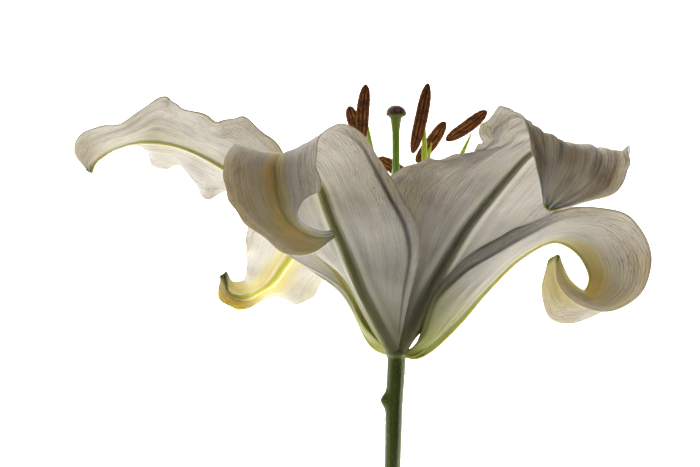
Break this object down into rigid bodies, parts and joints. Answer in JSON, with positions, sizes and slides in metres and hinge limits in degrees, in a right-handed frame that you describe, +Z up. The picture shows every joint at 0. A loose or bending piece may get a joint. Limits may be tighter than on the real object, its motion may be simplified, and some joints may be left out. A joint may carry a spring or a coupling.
{
  "type": "lily flower",
  "caption": "Picked white lily flower with curled back, ruffled petals, rust brown stamens, a green pistil and a cut stalk, lying down with its mouth tilted up.",
  "frame": {"origin": "middle of the bounding box at table height", "axes": "+Z up from the table, -Y towards the cut end of the stalk, +X across the open flower, its widest way"},
  "size_m": [0.2078, 0.1604, 0.154],
  "materials": {
    "stalk_green": "satin",
    "tepal_white": "satin",
    "ovary_green": "satin",
    "style_green": "satin",
    "stigma_maroon": "satin",
    "filament_green": "satin",
    "anther_rust": "matte"
  },
  "bodies": {
    "root": {"pedicel": "stalk_green", "outer_tepal_right": "tepal_white", "outer_tepal_upper_left": "tepal_white", "outer_tepal_lower_left": "tepal_white", "inner_tepal_left": "tepal_white", "inner_tepal_upper_right": "tepal_white", "inner_tepal_lower_right": "tepal_white", "ovary": "ovary_green", "style": "style_green", "stigma": "stigma_maroon", "filament_1": "filament_green", "anther_1": "anther_rust", "filament_2": "filament_green", "anther_2": "anther_rust", "filament_3": "filament_green", "anther_3": "anther_rust", "filament_4": "filament_green", "anther_4": "anther_rust", "filament_5": "filament_green", "anther_5": "anther_rust", "filament_6": "filament_green", "anther_6": "anther_rust"}
  },
  "joints": []
}
